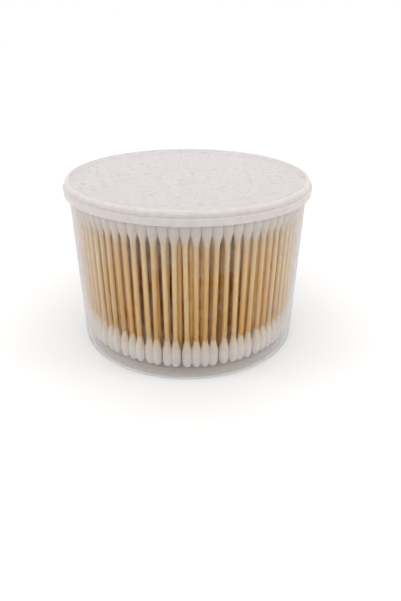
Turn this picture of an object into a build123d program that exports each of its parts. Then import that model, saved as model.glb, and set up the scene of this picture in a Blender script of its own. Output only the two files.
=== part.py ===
from build123d import *
from math import asin, floor, pi, radians, tan
import os

# A round tub of double-ended cotton swabs under a press-on lid. Lengths are in
# millimetres and angles in degrees. +Z is up, the tub's axis is Z, and the
# origin is the middle of the foot that the tub stands on.

# Swab: a bamboo stick with a cotton head wound on each end
swab_length = 75.0
stick_diameter = 2.3
head_diameter = 4.35
head_length = 15.0
head_neck_diameter = 2.7
head_crown_diameter = 3.0
head_shoulder_share = 0.6

# How the swabs stand in the tub
outer_pitch = 4.45
inner_pitch = 5.2
swab_side_clearance = 0.15
swab_floor_clearance = 0.05
swab_head_room = 0.25

# Tub: one thin-walled frosted moulding
tub_rim_inner_diameter = 112.9
wall_thickness = 0.9
wall_draft = 1.0
floor_thickness = 1.2
foot_height = 4.0
foot_ring_width = 1.0
foot_bevel = 1.0
rim_bead_height = 2.3
rim_bead_projection = 0.5
rim_bead_bevel = 0.5

# Lid: one press-on moulding that caps the tub's rim, with a low lip round its panel
# and a skirt that steps out half way down
lid_panel_thickness = 0.9
lid_lip_height = 0.6
lid_lip_width = 1.4
lid_lip_slope = 0.3
lid_edge_bevel = 0.6
lid_skirt_clearance = 0.25
lid_skirt_thickness = 0.75
lid_skirt_depth = 4.55
lid_skirt_flare = 0.8
lid_step_depth = 2.9
lid_step_projection = 0.8
lid_step_slope = 0.3
gate_dimple_diameter = 3.0
gate_dimple_depth = 0.4

# Facets of the swabs, which repeat hundreds of times
outer_stick_sides = 4
head_sides = 4
inner_stick_sides = 3
inner_bar_sides = 3
inner_bar_diameter = 4.9

# Levels, from the foot up
floor_top = foot_height + floor_thickness
swab_foot = floor_top + swab_floor_clearance
swab_top = swab_foot + swab_length
rim_top = swab_top + swab_head_room
rim_bead_bottom = rim_top - rim_bead_height
lid_panel_top = rim_top + lid_panel_thickness
lid_top = lid_panel_top + lid_lip_height
step_level = lid_top - lid_step_depth
skirt_bottom = rim_top - lid_skirt_depth
upper_neck = swab_length - head_length


def wall_inner_radius(level):
    """The tub's inner radius at a level: it narrows towards the floor by the draft."""
    return tub_rim_inner_diameter / 2 - (rim_top - level) * tan(radians(wall_draft))


def wall_outer_radius(level):
    return wall_inner_radius(level) + wall_thickness


def turned(*runs):
    """A closed solid turned about Z from the runs of its half section, in (radius, level)."""
    outline = Wire([edge for run in runs for edge in run.edges()])
    return revolve(make_face(Plane.XZ * outline), Axis.Z)


def faceted(sides, rings):
    """A convex rod along Z, whose section at each (diameter, level) is a regular polygon."""
    corners = []
    for diameter, level in rings:
        polygon = RegularPolygon(diameter / 2, sides)
        corners += [Vector(v.X, v.Y, level) for v in polygon.vertices()]
    return ConvexPolyhedron(corners)


# Tub: the wall's outer radius under the rim carries a bead that the lid goes over
foot_radius = wall_outer_radius(foot_bevel)
bead_radius = wall_outer_radius(rim_bead_bottom) + rim_bead_projection
foot_ring_inner_radius = foot_radius - foot_bevel - foot_ring_width

foot = Polyline(
    (0, floor_top),
    (0, foot_height),
    (foot_ring_inner_radius, foot_height),
    (foot_ring_inner_radius, 0),
    (foot_radius - foot_bevel, 0),
    (foot_radius, foot_bevel),
)
rim = Polyline(
    (wall_outer_radius(rim_bead_bottom), rim_bead_bottom),
    (bead_radius, rim_bead_bottom + rim_bead_bevel),
    (bead_radius, rim_top),
    (wall_inner_radius(rim_top), rim_top),
)
floor_edge = (wall_inner_radius(floor_top), floor_top)
tub = turned(
    foot,
    Bezier(foot @ 1, rim @ 0),
    rim,
    Bezier(rim @ 1, floor_edge),
    Line(floor_edge, foot @ 0),
)

# Lid: its panel lies on the tub's rim, and its skirt reaches down past the bead
skirt_inner_radius = bead_radius + lid_skirt_clearance
lid_radius = skirt_inner_radius + lid_skirt_thickness
skirt_radius = lid_radius + lid_step_projection
recess_radius = lid_radius - lid_edge_bevel - lid_lip_width

lid = turned(Polyline(
    (0, rim_top),
    (skirt_inner_radius, rim_top),
    (skirt_inner_radius + lid_skirt_flare, skirt_bottom),
    (skirt_radius, skirt_bottom),
    (skirt_radius, step_level - lid_step_slope),
    (lid_radius, step_level),
    (lid_radius, lid_top - lid_edge_bevel),
    (lid_radius - lid_edge_bevel, lid_top),
    (recess_radius, lid_top),
    (recess_radius - lid_lip_slope, lid_panel_top),
    (gate_dimple_diameter / 2, lid_panel_top),
    (0, lid_panel_top - gate_dimple_depth),
    close=True,
))

# Swab pieces, measured from the foot of their swab. In the second ring, where the
# lower heads are out of sight, the sticks reach down to the floor.
outer_stick = faceted(outer_stick_sides, [(stick_diameter, head_length), (stick_diameter, upper_neck)])
inner_stick = faceted(inner_stick_sides, [(stick_diameter, 0), (stick_diameter, upper_neck)])

# A cotton head swells from its neck to its shoulder and closes in to its crown
head = faceted(head_sides, [
    (head_neck_diameter, 0),
    (head_diameter, head_length * head_shoulder_share),
    (head_crown_diameter, head_length),
])
upper_head = Pos(0, 0, upper_neck) * head
lower_head = Pos(0, 0, head_length) * Rot(180, 0, 0) * head
plain_head = faceted(head_sides, [(head_diameter, upper_neck), (head_diameter, swab_length)])

# A swab inside the two outer rings is one plain bar, as wide as its cotton heads
bar = faceted(inner_bar_sides, [(inner_bar_diameter, 0), (inner_bar_diameter, swab_length)])

# Rings of swabs: the outer one leans with the wall, and the others less and less
head_level = swab_top - head_length / 2
outer_ring_radius = wall_inner_radius(head_level) - head_diameter / 2 - swab_side_clearance


def ring_places(number):
    """Where the swabs of a ring stand, counted from one at the wall towards the axis."""
    radius = outer_ring_radius - (number - 1) * inner_pitch
    pitch = outer_pitch if number == 1 else inner_pitch
    if radius < pitch / 2:
        return [Pos(0, 0, swab_foot)]
    count = floor(pi / asin(pitch / (2 * radius)))
    lean = wall_draft * radius / outer_ring_radius
    foot = radius - (head_level - swab_foot) * tan(radians(lean))
    return [
        Rot(0, 0, turn * 360 / count) * Pos(foot, 0, swab_foot) * Rot(0, lean, 0)
        for turn in range(count)
    ]


def standing(piece, places):
    return Compound(children=[place * piece for place in places])


ring_count = 1 + round(outer_ring_radius / inner_pitch)
inner_places = [place for number in range(3, ring_count + 1) for place in ring_places(number)]

parts = {
    "tub": tub,
    "lid": lid,
    "outer_sticks": standing(outer_stick, ring_places(1)),
    "outer_upper_heads": standing(upper_head, ring_places(1)),
    "outer_lower_heads": standing(lower_head, ring_places(1)),
    "second_ring_sticks": standing(inner_stick, ring_places(2)),
    "second_ring_heads": standing(plain_head, ring_places(2)),
    "inner_swabs": standing(bar, inner_places),
}
os.makedirs("parts", exist_ok=True)
for name, shape in parts.items():
    export_step(shape, f"parts/{name}.step")
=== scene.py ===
import math
import random

import bmesh
import bpy
from mathutils import Matrix, Vector


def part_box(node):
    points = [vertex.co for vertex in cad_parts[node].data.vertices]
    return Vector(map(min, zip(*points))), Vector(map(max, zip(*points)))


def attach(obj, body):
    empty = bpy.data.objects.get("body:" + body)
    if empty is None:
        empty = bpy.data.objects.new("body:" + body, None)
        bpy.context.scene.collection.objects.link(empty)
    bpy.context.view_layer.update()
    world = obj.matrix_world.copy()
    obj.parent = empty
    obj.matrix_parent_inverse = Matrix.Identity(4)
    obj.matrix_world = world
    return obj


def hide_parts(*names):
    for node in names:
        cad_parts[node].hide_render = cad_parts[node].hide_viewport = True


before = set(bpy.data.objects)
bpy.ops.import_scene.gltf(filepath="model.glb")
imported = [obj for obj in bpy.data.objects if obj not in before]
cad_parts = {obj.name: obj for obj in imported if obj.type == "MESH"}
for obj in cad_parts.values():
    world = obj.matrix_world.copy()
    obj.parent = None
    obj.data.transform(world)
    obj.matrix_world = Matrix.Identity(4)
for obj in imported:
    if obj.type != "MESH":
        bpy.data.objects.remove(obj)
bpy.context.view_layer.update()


# Lid
# The lid is one press-on moulding of frosted polypropylene. Its flat panel lies on the
# tub's rim inside a low lip, and its skirt, which steps out half way down under a shallow
# groove, reaches over the tub's bead.

mm = 0.001


def turn(name, outline):
    """Turns a half section about Z. Each corner is (radius, level, rounding), in millimetres."""
    sides = 144
    rounding_segments = 4
    corner_tolerance = 0.001
    doubles_distance = 0.0005
    bpy.ops.object.select_all(action="DESELECT")
    bpy.ops.mesh.primitive_plane_add(size=mm)
    piece = bpy.context.object
    piece.name = name
    bpy.ops.object.mode_set(mode="EDIT")
    bpy.ops.mesh.select_all(action="SELECT")
    bpy.ops.mesh.merge(type="CENTER")
    corners = [Vector((radius * mm, 0, level * mm)) for radius, level, rounding in outline]
    bpy.ops.transform.translate(value=corners[0])
    for here, there in zip(corners, corners[1:]):
        bpy.ops.mesh.extrude_region_move(TRANSFORM_OT_translate={"value": there - here})

    # Each corner of the section is rounded before it is turned
    for corner, (radius, level, rounding) in zip(corners, outline):
        if rounding:
            mesh = bmesh.from_edit_mesh(piece.data)
            for vertex in mesh.verts:
                vertex.select = (vertex.co - corner).length < corner_tolerance * mm
            mesh.select_flush(False)
            bmesh.update_edit_mesh(piece.data)
            bpy.ops.mesh.bevel(
                offset=rounding * mm, offset_type="OFFSET", segments=rounding_segments, affect="VERTICES",
            )

    bpy.ops.mesh.select_all(action="SELECT")
    bpy.ops.mesh.spin(steps=sides, angle=2 * math.pi, center=(0, 0, 0), axis=(0, 0, 1))
    bpy.ops.mesh.select_all(action="SELECT")
    bpy.ops.mesh.remove_doubles(threshold=doubles_distance * mm)
    bpy.ops.mesh.normals_make_consistent(inside=False)
    bpy.ops.object.mode_set(mode="OBJECT")
    bpy.ops.object.shade_smooth_by_angle(angle=math.radians(35))
    return piece


def colour(code):
    """The linear RGBA of an sRGB colour written as hex."""
    parts = [int(code[place:place + 2], 16) / 255 for place in (1, 3, 5)]
    linear = [part / 12.92 if part <= 0.04045 else ((part + 0.055) / 1.055) ** 2.4 for part in parts]
    return (*linear, 1.0)


def add_node(tree, kind, inputs=None, **settings):
    """Adds a shader node with its settings. An input that is a socket is linked, others are set.

    A Mix node set to RGBA has its colours at inputs 6 and 7, and their mix at output 2.
    """
    node = tree.nodes.new("ShaderNode" + kind)
    for name, value in settings.items():
        setattr(node, name, value)
    for name, value in (inputs or {}).items():
        if isinstance(value, bpy.types.NodeSocket):
            tree.links.new(value, node.inputs[name])
        else:
            node.inputs[name].default_value = value
    return node


def new_material(name):
    """An empty material and its node tree."""
    material = bpy.data.materials.new(name)
    material.use_nodes = True
    material.node_tree.nodes.clear()
    return material, material.node_tree


def distance_from_axis(tree, place):
    """How far a place on the surface lies from the tub's axis."""
    across = add_node(tree, "VectorMath", {0: place, 1: (1, 1, 0)}, operation="MULTIPLY").outputs["Vector"]
    return add_node(tree, "VectorMath", {0: across}, operation="LENGTH").outputs["Value"]


# Frosted polypropylene, moulded thin in a finely etched mould: clear enough square on to
# show what is behind it, and milky where it is seen at a slant, at a rim and at a gate.
# Its haze is a little uneven, with sparse clearer specks inside the rim. At the rim its
# milk takes a tint of its own, which on the lid is a painted shade on its lip and skirt.
# The etching is drawn coarser than the real one, so that it shows.
def frosted_polypropylene(
    name, milk_code, haze_square_on, haze_edge_on, haze_at_rim, rim_from, haze_at_gate,
):
    """The plastic, with its haze square on, edge on, outside the radius rim_from and at a gate."""
    rim_shaded_milk_code = "#DBD4D2"
    clear_code = "#FBFAF9"
    haze_rise = 4.0
    haze_patch_size = 4.0
    haze_unevenness = 0.05
    speck_from = 0.59
    speck_full = 0.69
    speck_haze_share = 0.5
    rim_blend = 0.8
    gate_mark_radius = 0.9
    gate_fade_radius = 1.6
    etching_size = 0.45
    etching_depth = 0.02
    material, tree = new_material(name)
    place = add_node(tree, "TexCoord").outputs["Object"]

    # The haze grows with the slant, and patches make it a little uneven
    slant = add_node(tree, "LayerWeight", {"Blend": 0.5}).outputs["Facing"]
    risen = add_node(tree, "Math", {0: slant, 1: haze_rise}, operation="POWER").outputs[0]
    patches = add_node(tree, "TexNoise", {
        "Vector": place, "Scale": 1 / (haze_patch_size * mm), "Detail": 2.0, "Roughness": 0.6,
    }).outputs["Fac"]
    patch_share = add_node(tree, "MapRange", {
        "Value": patches, "From Min": 0.3, "From Max": 0.7,
        "To Min": -haze_unevenness, "To Max": haze_unevenness,
    }).outputs["Result"]

    # A speck keeps a share of the haze that the plastic has square on, and all of it at the rim
    radius = distance_from_axis(tree, place)
    rim = add_node(tree, "MapRange", {
        "Value": radius, "From Min": rim_from * mm, "From Max": (rim_from + rim_blend) * mm,
    }).outputs["Result"]
    in_specks = add_node(tree, "Math", {
        0: rim, 1: (1 - speck_haze_share) * haze_square_on, 2: speck_haze_share * haze_square_on,
    }, operation="MULTIPLY_ADD").outputs[0]
    specked = add_node(tree, "MapRange", {
        "Value": patches, "From Min": speck_from, "From Max": speck_full,
        "To Min": haze_square_on, "To Max": in_specks,
    }).outputs["Result"]
    slanted = add_node(tree, "Math", {
        0: risen, 1: haze_edge_on, 2: specked,
    }, operation="MULTIPLY_ADD").outputs[0]

    # The gate mark and the rim are milkier
    gate = add_node(tree, "MapRange", {
        "Value": radius, "From Min": gate_mark_radius * mm, "From Max": gate_fade_radius * mm,
        "To Min": haze_at_gate, "To Max": 0.0,
    }).outputs["Result"]
    uneven = add_node(tree, "Math", {0: slanted, 1: patch_share}, operation="ADD").outputs[0]
    marked = add_node(tree, "Math", {0: uneven, 1: gate}, operation="ADD").outputs[0]
    haze = add_node(tree, "Math", {
        0: rim, 1: haze_at_rim, 2: marked,
    }, operation="MULTIPLY_ADD", use_clamp=True).outputs[0]
    # Outside rim_from the milk takes the rim's tint, darker than the lid's milk: a painted shade on the
    # lid's lip and skirt
    milk_with_painted_rim_shade = add_node(tree, "Mix", {
        0: rim, 6: colour(milk_code), 7: colour(rim_shaded_milk_code),
    }, data_type="RGBA").outputs[2]
    etching = add_node(tree, "TexNoise", {
        "Vector": place, "Scale": 1 / (etching_size * mm), "Detail": 2.0,
    }).outputs["Fac"]
    etched = add_node(tree, "Bump", {
        "Height": etching, "Strength": 0.25, "Distance": etching_depth * mm,
    }).outputs["Normal"]
    milk = add_node(tree, "BsdfPrincipled", {
        "Base Color": milk_with_painted_rim_shade, "Roughness": 0.5, "IOR": 1.49, "Specular IOR Level": 0.03,
        "Normal": etched,
    }).outputs["BSDF"]
    clear = add_node(tree, "BsdfTransparent", {"Color": colour(clear_code)}).outputs["BSDF"]
    mixed = add_node(tree, "MixShader", {0: haze, 1: clear, 2: milk}).outputs["Shader"]
    add_node(tree, "OutputMaterial", {"Surface": mixed})
    return material


lid_low, lid_high = (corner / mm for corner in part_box("lid"))
lid_top = lid_high.z
skirt_foot = lid_low.z
skirt_radius = lid_high.x
panel_thickness = 0.9
seat_rounding = 0.3
lip_height = 0.6
lip_width = 1.4
lip_slope = 0.3
lip_edge = 0.6
lip_rounding = 1.5
recess_rounding = 0.25
skirt_thickness = 0.75
skirt_flare = 0.8
skirt_inner_rounding = 0.2
skirt_foot_rounding = 0.25
step_depth = 2.9
step_projection = 0.8
step_slope = 0.1
step_rounding = 0.2
groove_depth = 0.15
groove_height = 0.5
groove_rounding = 0.15
gate_radius = 1.5
gate_depth = 0.4
gate_rounding = 0.15
lip_haze_overrun = 0.6

lid_radius = skirt_radius - step_projection
panel_top = lid_top - lip_height
rim_seat = panel_top - panel_thickness
step_level = lid_top - step_depth
recess_radius = lid_radius - lip_edge - lip_width

lid = turn("lid_moulding", [
    (0, rim_seat, 0),
    (lid_radius - skirt_thickness, rim_seat, seat_rounding),
    (lid_radius - skirt_thickness + skirt_flare, skirt_foot, skirt_inner_rounding),
    (skirt_radius, skirt_foot, skirt_foot_rounding),
    (skirt_radius, step_level - step_slope, step_rounding),
    (lid_radius - groove_depth, step_level, groove_rounding),
    (lid_radius, step_level + groove_height, step_rounding),
    (lid_radius, lid_top, lip_rounding),
    (recess_radius, lid_top, recess_rounding),
    (recess_radius - lip_slope, panel_top, recess_rounding),
    (gate_radius, panel_top, gate_rounding),
    (0, panel_top - gate_depth, 0),
])
lid.data.materials.append(frosted_polypropylene(
    "frosted_lid_polypropylene", "#E5E1E2", haze_square_on=0.35, haze_edge_on=0.5,
    haze_at_rim=0.32, rim_from=recess_radius - lip_haze_overrun, haze_at_gate=0.2,
))
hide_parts("lid")
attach(lid, "lid")


# Tub
# The tub is one thin-walled moulding of the same frosted polypropylene. It narrows a
# little towards its floor so that it leaves the mould, stands on a foot ring, and has a
# bead round its rim that the lid's skirt goes over.

tub_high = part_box("tub")[1] / mm
tub_rim = tub_high.z
tub_bead_radius = tub_high.x
wall_thickness = 0.9
wall_draft = math.radians(1.0)
floor_thickness = 1.2
floor_rounding = 1.0
foot_height = 4.0
foot_ring_width = 1.0
foot_ring_rounding = 0.3
foot_recess_rounding = 0.4
foot_bevel = 1.0
foot_rounding = 0.6
bead_height = 2.3
bead_projection = 0.5
bead_bevel = 0.5
bead_rounding = 0.2
bead_foot_rounding = 0.3
rim_rounding = 0.35
lid_seat_gap = 0.02

rim_outer_radius = tub_bead_radius - bead_projection
bead_foot = tub_rim - bead_height
foot_radius = rim_outer_radius - (bead_foot - foot_bevel) * math.tan(wall_draft)
floor_top = foot_height + floor_thickness
mouth_radius = rim_outer_radius + bead_height * math.tan(wall_draft) - wall_thickness
floor_radius = mouth_radius - (tub_rim - floor_top) * math.tan(wall_draft)

# The wall widens upwards, so the milkier plastic of its mouth starts where it is this
# much wider than at its foot
mouth_haze_widening = 0.85

tub = turn("tub_moulding", [
    (0, foot_height, 0),
    (foot_radius - foot_bevel - foot_ring_width, foot_height, foot_recess_rounding),
    (foot_radius - foot_bevel - foot_ring_width, 0, foot_ring_rounding),
    (foot_radius - foot_bevel, 0, foot_ring_rounding),
    (foot_radius, foot_bevel, foot_rounding),
    (rim_outer_radius, bead_foot, bead_foot_rounding),
    (tub_bead_radius, bead_foot + bead_bevel, bead_rounding),
    (tub_bead_radius, tub_rim - lid_seat_gap, rim_rounding),
    (mouth_radius, tub_rim - lid_seat_gap, rim_rounding),
    (floor_radius, floor_top, floor_rounding),
    (0, floor_top, 0),
])
# The tub's milk is greyer than the lid's, a painted shade on its upright wall
tub.data.materials.append(frosted_polypropylene(
    "frosted_tub_polypropylene", "#D3CFCF", haze_square_on=0.01, haze_edge_on=1.0,
    haze_at_rim=0.30, rim_from=foot_radius + mouth_haze_widening, haze_at_gate=0.0,
))
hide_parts("tub")
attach(tub, "tub")


# Bamboo sticks
# Each swab is a thin round stick split and shaved from bamboo. The sticks stand upright
# in rings inside the tub, and the outer ones lean out a little with its wall.

swab_length = 75.0
swab_floor_gap = 0.05
swab_foot = floor_top + swab_floor_gap
stick_radius = 1.15
stick_sides = 10
stick_end_cover = 1.0
head_length = 15.0
head_level = swab_foot + swab_length - head_length / 2
outer_ring_radius = 53.99
ring_spacing = 5.2
ring_turn_share = 0.25
outer_pitch = 4.45
inner_pitch = 5.2
sway = 0.7
inner_stray = 1.2
length_changes = (-0.012, 0.002)
outer_tones = (0.40, 0.90)
inner_tones = (0.35, 0.85)
random.seed(7)


def ring_places(number):
    """The places and tones of the swabs in a ring, counted from 1 at the wall, each a little astray.

    From the third ring in, each is turned a share of its pitch further than the last, so
    that no straight gap runs in between the sticks.
    """
    radius = outer_ring_radius - (number - 1) * ring_spacing
    pitch = outer_pitch if number == 1 else inner_pitch
    count = math.floor(math.pi / math.asin(pitch / (2 * radius))) if radius > pitch / 2 else 1
    radius = radius if count > 1 else 0
    lean = wall_draft * radius / outer_ring_radius
    foot = radius - (head_level - swab_foot) * math.tan(lean)
    ring_turn = ring_turn_share * (number - 2) if number > 2 else 0.0
    places = []
    for turned in range(count):
        along = random.uniform(-sway, sway)
        out = random.uniform(-inner_stray, inner_stray) if number > 2 else 0
        place = (
            Matrix.Rotation(2 * math.pi * (turned + ring_turn) / count, 4, "Z")
            @ Matrix.Translation(((foot + out) * mm, along * mm, swab_foot * mm))
            @ Matrix.Rotation(lean, 4, "Y")
            @ Matrix.Rotation(math.atan(along / (head_level - swab_foot)), 4, "X")
            @ Matrix.Scale(1 + random.uniform(*length_changes), 4, (0, 0, 1))
        )
        tone = random.uniform(*outer_tones) if number == 1 else random.uniform(*inner_tones)
        places.append((place, tone))
    return places


ring_count = 1 + round(outer_ring_radius / ring_spacing)
rings = [ring_places(number) for number in range(1, ring_count + 1)]
inner_places = [place for ring in rings[2:] for place in ring]


def repeat(name, model, places):
    """Copies a swab piece to each place, gives each copy its tone, and joins the copies."""
    copies = []
    for place, tone in places:
        copy = model.copy()
        copy.data = model.data.copy()
        copy.data.transform(place)
        tones = copy.data.attributes.new("tone", "FLOAT", "POINT")
        tones.data.foreach_set("value", [tone] * len(copy.data.vertices))
        bpy.context.scene.collection.objects.link(copy)
        copies.append(copy)
    bpy.ops.object.select_all(action="DESELECT")
    for copy in copies:
        copy.select_set(True)
    bpy.context.view_layer.objects.active = copies[0]
    bpy.ops.object.join()
    group = bpy.context.object
    group.name = name
    return group


# The stick ends inside the crown of each head
bpy.ops.object.select_all(action="DESELECT")
bpy.ops.mesh.primitive_cylinder_add(
    vertices=stick_sides, radius=stick_radius * mm, depth=(swab_length - 2 * stick_end_cover) * mm,
    location=(0, 0, swab_length / 2 * mm),
)
stick = bpy.context.object
bpy.ops.object.transform_apply(location=True, rotation=True, scale=True)
bpy.ops.object.shade_smooth_by_angle(angle=math.radians(40))

# Bamboo, shaved to a round stick and left bare: straight fibres of a lighter and a darker
# straw colour, a dull satin surface, and a tone that differs from stick to stick. Low
# down it is darker and more golden, a painted shade with painted bounced light, and near
# the upper head it has stray wisps of cotton. Behind the outer ring it is golden, a
# painted light that arrives there off other sticks. The fibres are drawn coarser than
# real ones, so that they show.
fibre_width = 0.35
fibre_length = 14.0
fibre_relief_depth = 0.06
dark_straw = colour("#C6923D")
pale_straw = colour("#E1CA9A")
thin_cotton = colour("#D6BF96")
gold = colour("#F0BE6C")
painted_shade_full_up_to = 15.0
painted_shade_none_from = 50.0
wisps_from = 52.0
wisps_full_from = 66.0
gold_inside_radius = 49.5
no_gold_outside_radius = 51.0

bamboo, tree = new_material("bare_bamboo")
place = add_node(tree, "TexCoord").outputs["Object"]
stretched = add_node(tree, "Mapping", {
    "Vector": place, "Scale": (1 / (fibre_width * mm), 1 / (fibre_width * mm), 1 / (fibre_length * mm)),
}).outputs["Vector"]
fibres = add_node(tree, "TexNoise", {
    "Vector": stretched, "Scale": 1.0, "Detail": 3.0, "Roughness": 0.6,
}).outputs["Fac"]
tone = add_node(tree, "Attribute", attribute_name="tone").outputs["Fac"]
tone_share = add_node(tree, "MapRange", {
    "Value": tone, "To Min": -0.30, "To Max": 0.50,
}).outputs["Result"]
height = add_node(tree, "SeparateXYZ", {"Vector": place}).outputs["Z"]
# Painted shade and painted bounced light: darker and more golden towards the bottom
low_painted_shade = add_node(tree, "MapRange", {
    "Value": height, "From Min": painted_shade_full_up_to * mm, "From Max": painted_shade_none_from * mm,
    "To Min": -0.5, "To Max": 0.0,
}).outputs["Result"]
toned = add_node(tree, "Math", {0: fibres, 1: tone_share}, operation="ADD").outputs[0]
shade = add_node(tree, "Math", {0: toned, 1: low_painted_shade}, operation="ADD", use_clamp=True).outputs[0]
straw = add_node(tree, "Mix", {0: shade, 6: dark_straw, 7: pale_straw}, data_type="RGBA").outputs[2]
wisp_share = add_node(tree, "MapRange", {
    "Value": height, "From Min": wisps_from * mm, "From Max": wisps_full_from * mm,
    "To Min": 0.0, "To Max": 0.5,
}).outputs["Result"]
wispy = add_node(tree, "Mix", {0: wisp_share, 6: straw, 7: thin_cotton}, data_type="RGBA").outputs[2]
behind = add_node(tree, "MapRange", {
    "Value": distance_from_axis(tree, place),
    "From Min": gold_inside_radius * mm, "From Max": no_gold_outside_radius * mm,
    "To Min": 0.85, "To Max": 0.0,
}).outputs["Result"]
golden = add_node(tree, "Mix", {0: behind, 6: wispy, 7: gold}, data_type="RGBA").outputs[2]
fibre_relief = add_node(tree, "Bump", {
    "Height": fibres, "Strength": 0.5, "Distance": fibre_relief_depth * mm,
}).outputs["Normal"]
wood = add_node(tree, "BsdfPrincipled", {
    "Base Color": golden, "Roughness": 0.55, "IOR": 1.52, "Normal": fibre_relief,
}).outputs["BSDF"]
add_node(tree, "OutputMaterial", {"Surface": wood})
stick.data.materials.append(bamboo)

outer_sticks = repeat("outer_bamboo_sticks", stick, rings[0])
second_sticks = repeat("second_ring_bamboo_sticks", stick, rings[1])
inner_sticks = repeat("inner_bamboo_sticks", stick, inner_places)
for sticks in (outer_sticks, second_sticks, inner_sticks):
    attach(sticks, "tub")
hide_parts("outer_sticks")
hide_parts("second_ring_sticks")
bpy.data.objects.remove(stick)


# Cotton heads
# A tuft of cotton is wound on each end of a stick and pressed to a smooth teardrop: it
# swells from its neck, is widest near its end, and closes in a round crown.

# The distance from the neck, and the radius, of each place where the teardrop's side bends
head_bands = [
    (0.0, 1.17), (1.8, 1.34), (3.8, 1.82), (5.8, 2.34),
    (8.0, 2.48), (12.2, 2.42), (14.2, 1.60), (15.0, 0.45),
]
head_sides = 10
head_pressed = 0.92
neck_cover = 0.15
neck_fade = 9.0

# Wound cotton: white, greyed a little all over as a painted shade of the lid above, dull
# and a little fuzzy, with fibres that run round the head, and thin enough at its neck for
# the bamboo to show; its tan there is also a painted shade with painted light bounced off
# the sticks. The fibres are drawn as wisps, much coarser than real ones, so that they
# show, in a lit and a shaded white, a painted light and shade.
wisp_length = 1.2
wisp_width = 0.40
wisp_depth = 0.12
# Both whites are greyer than clean cotton, a painted shade; their mix is a painted light and shade on the
# wisps
painted_shade_white = colour("#C9C2BD")
painted_light_white = colour("#DEDAD7")

cotton, tree = new_material("wound_cotton")
place = add_node(tree, "TexCoord").outputs["Object"]
wound = add_node(tree, "Mapping", {
    "Vector": place, "Scale": (1 / (wisp_length * mm), 1 / (wisp_length * mm), 1 / (wisp_width * mm)),
}).outputs["Vector"]
wisps = add_node(tree, "TexNoise", {
    "Vector": wound, "Scale": 1.0, "Detail": 4.0, "Roughness": 0.65, "Distortion": 0.4,
}).outputs["Fac"]
white = add_node(tree, "Mix", {0: wisps, 6: painted_shade_white, 7: painted_light_white}, data_type="RGBA").outputs[2]
cover_and_bounce = add_node(tree, "Attribute", attribute_name="cover_and_bounce").outputs["Fac"]
# Towards the neck the white gives way to tan: thin cotton over bamboo, with painted shade and painted
# bounced light
thinned_and_bounce_lit = add_node(tree, "Mix", {0: cover_and_bounce, 6: thin_cotton, 7: white}, data_type="RGBA").outputs[2]
fluff = add_node(tree, "Bump", {
    "Height": wisps, "Strength": 0.6, "Distance": wisp_depth * mm,
}).outputs["Normal"]
cloth = add_node(tree, "BsdfPrincipled", {
    "Base Color": thinned_and_bounce_lit, "Roughness": 0.9, "IOR": 1.45, "Sheen Weight": 0.25, "Sheen Roughness": 0.5,
    "Specular IOR Level": 0.2, "Normal": fluff,
}).outputs["BSDF"]
add_node(tree, "OutputMaterial", {"Surface": cloth})


def teardrop(name, place):
    """A cotton head, made along Z with its neck at the origin and then put in its place."""
    bpy.ops.object.select_all(action="DESELECT")
    bpy.ops.mesh.primitive_circle_add(
        vertices=head_sides, radius=head_bands[0][1] * mm, fill_type="NGON", location=(0, 0, 0),
    )
    head = bpy.context.object
    head.name = name
    bpy.ops.object.mode_set(mode="EDIT")
    bpy.ops.mesh.select_all(action="SELECT")
    for (low, narrow), (high, wide) in zip(head_bands, head_bands[1:]):
        bpy.ops.mesh.extrude_region_move(TRANSFORM_OT_translate={"value": (0, 0, (high - low) * mm)})
        bpy.ops.transform.resize(value=(wide / narrow, wide / narrow, 1))
    bpy.ops.mesh.select_all(action="SELECT")
    bpy.ops.mesh.normals_make_consistent(inside=False)
    bpy.ops.object.mode_set(mode="OBJECT")
    bpy.ops.object.shade_smooth_by_angle(angle=math.radians(60))

    # How far the cotton hides the stick: thin at the neck, and full a few millimetres on. The tan that
    # shows is also a painted shade with painted light bounced off the sticks
    cover_and_bounce = head.data.attributes.new("cover_and_bounce", "FLOAT", "POINT")
    for vertex in head.data.vertices:
        cover_and_bounce.data[vertex.index].value = min(1.0, neck_cover + vertex.co.z / (neck_fade * mm))
    head.data.transform(place)
    head.data.materials.append(cotton)
    return head


# The outer heads press on their neighbours, and are a little flatter where they lie on the wall
upper_place = Matrix.Translation((0, 0, (swab_length - head_length) * mm))
lower_place = Matrix.Translation((0, 0, head_length * mm)) @ Matrix.Rotation(math.pi, 4, "X")
pressed = Matrix.Diagonal((head_pressed, 1, 1, 1))
upper_head = teardrop("upper_cotton_head", upper_place @ pressed)
lower_head = teardrop("lower_cotton_head", lower_place @ pressed)
inner_head = teardrop("inner_cotton_head", upper_place)

outer_upper_heads = repeat("outer_upper_cotton_heads", upper_head, rings[0])
outer_lower_heads = repeat("outer_lower_cotton_heads", lower_head, rings[0])
second_heads = repeat("second_ring_cotton_heads", inner_head, rings[1])
inner_heads = repeat("inner_cotton_heads", inner_head, inner_places)
for heads in (outer_upper_heads, outer_lower_heads, second_heads, inner_heads):
    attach(heads, "tub")
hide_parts("outer_upper_heads")
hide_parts("outer_lower_heads")
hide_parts("second_ring_heads")
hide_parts("inner_swabs")
for model in (upper_head, lower_head, inner_head):
    bpy.data.objects.remove(model)


# Floor and backdrop
# A plain pale floor of matt paper that runs out to a white background, and keeps the
# tub's shadow. Its sizes are in metres.

floor_size = 8
glow_from = 0.12
glow_full_from = 1.3
glow_near = 0.10
glow_far = 0.72
fill_strength = 0.46


def seen_rays(tree):
    """1 for a ray of the camera, of a reflection or of a view through the plastic, and else 0."""
    rays = add_node(tree, "LightPath").outputs
    seen = add_node(tree, "Math", {
        0: rays["Is Camera Ray"], 1: rays["Is Glossy Ray"],
    }, operation="MAXIMUM").outputs[0]
    return add_node(tree, "Math", {
        0: seen, 1: rays["Is Transmission Ray"],
    }, operation="MAXIMUM").outputs[0]


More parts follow.
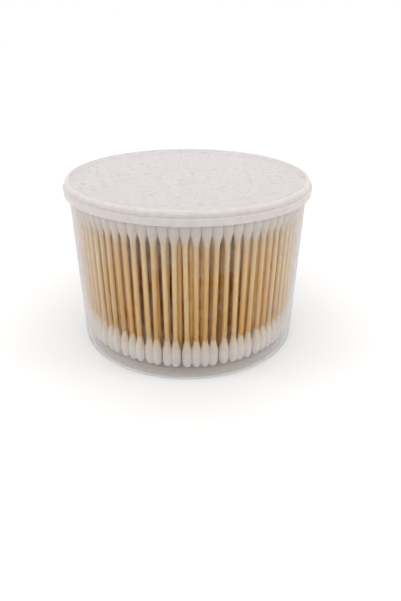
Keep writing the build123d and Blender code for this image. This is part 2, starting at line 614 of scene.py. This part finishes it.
bpy.ops.object.select_all(action="DESELECT")
bpy.ops.mesh.primitive_plane_add(size=floor_size, location=(0, 0, 0))
floor = bpy.context.object
floor.name = "studio_floor"
paper, tree = new_material("matt_white_paper")
place = add_node(tree, "TexCoord").outputs["Object"]
away = add_node(tree, "VectorMath", {0: place}, operation="LENGTH").outputs["Value"]
glow_share = add_node(tree, "MapRange", {
    "Value": away, "From Min": glow_from, "From Max": glow_full_from,
    "To Min": glow_near, "To Max": glow_far,
}).outputs["Result"]
glow = add_node(tree, "Math", {0: seen_rays(tree), 1: glow_share}, operation="MULTIPLY").outputs[0]
matt = add_node(tree, "BsdfDiffuse", {"Color": colour("#E6E6E6")}).outputs["BSDF"]
lit = add_node(tree, "Emission", {"Color": (1, 1, 1, 1), "Strength": glow}).outputs["Emission"]
both = add_node(tree, "AddShader", {0: matt, 1: lit}).outputs["Shader"]
add_node(tree, "OutputMaterial", {"Surface": both})
floor.data.materials.append(paper)

world = bpy.data.worlds.new("white_studio")
bpy.context.scene.world = world
world.use_nodes = True
tree = world.node_tree
tree.nodes.clear()
fill = add_node(tree, "Background", {"Color": (1, 1, 1, 1), "Strength": fill_strength}).outputs[0]
white_sky = add_node(tree, "Background", {"Color": (1, 1, 1, 1), "Strength": 1.0}).outputs[0]
sky = add_node(tree, "MixShader", {0: seen_rays(tree), 1: fill, 2: white_sky}).outputs[0]
add_node(tree, "OutputWorld", {"Surface": sky})


# Lamps
# Four softboxes: a broad one overhead, one in front, high behind the camera, and one at
# each side, low down, that lights the sticks through the wall.

def softbox(name, place, target, width, height, power):
    """An area lamp that faces its target, with its sizes in metres and its power in watts."""
    bpy.ops.object.light_add(type="AREA", location=place)
    lamp = bpy.context.object
    lamp.name = name
    lamp.data.shape = "RECTANGLE"
    lamp.data.size = width
    lamp.data.size_y = height
    lamp.data.energy = power
    lamp.rotation_euler = (Vector(target) - Vector(place)).to_track_quat("-Z", "Y").to_euler()


softbox("overhead_softbox", (0.0, 0.05, 0.75), (0, 0, 0.05), width=0.9, height=0.9, power=4.3)
softbox("front_softbox", (0.0, -0.90, 0.42), (0, 0, 0.05), width=0.5, height=0.35, power=2.85)
softbox("left_softbox", (-0.80, -0.12, 0.28), (0, 0, 0.04), width=0.3, height=0.5, power=2.0)
softbox("right_softbox", (0.80, -0.12, 0.28), (0, 0, 0.04), width=0.3, height=0.5, power=2.0)


# Camera
# It stands before the tub and looks down on it, as in the photograph. Its place is in
# metres, its lens in millimetres and its angles in degrees.

camera_place = (0.00650, -0.24470, 0.14330)
camera_lens = 30.137
camera_tilt_down = 28.233
camera_roll = 0.437

camera_data = bpy.data.cameras.new("camera")
camera_data.lens = camera_lens
camera = bpy.data.objects.new("camera", camera_data)
bpy.context.scene.collection.objects.link(camera)
camera.matrix_world = (
    Matrix.Translation(camera_place)
    @ Matrix.Rotation(math.radians(90 - camera_tilt_down), 4, "X")
    @ Matrix.Rotation(math.radians(camera_roll), 4, "Z")
)
bpy.context.scene.camera = camera
bpy.context.scene.view_settings.view_transform = "Standard"
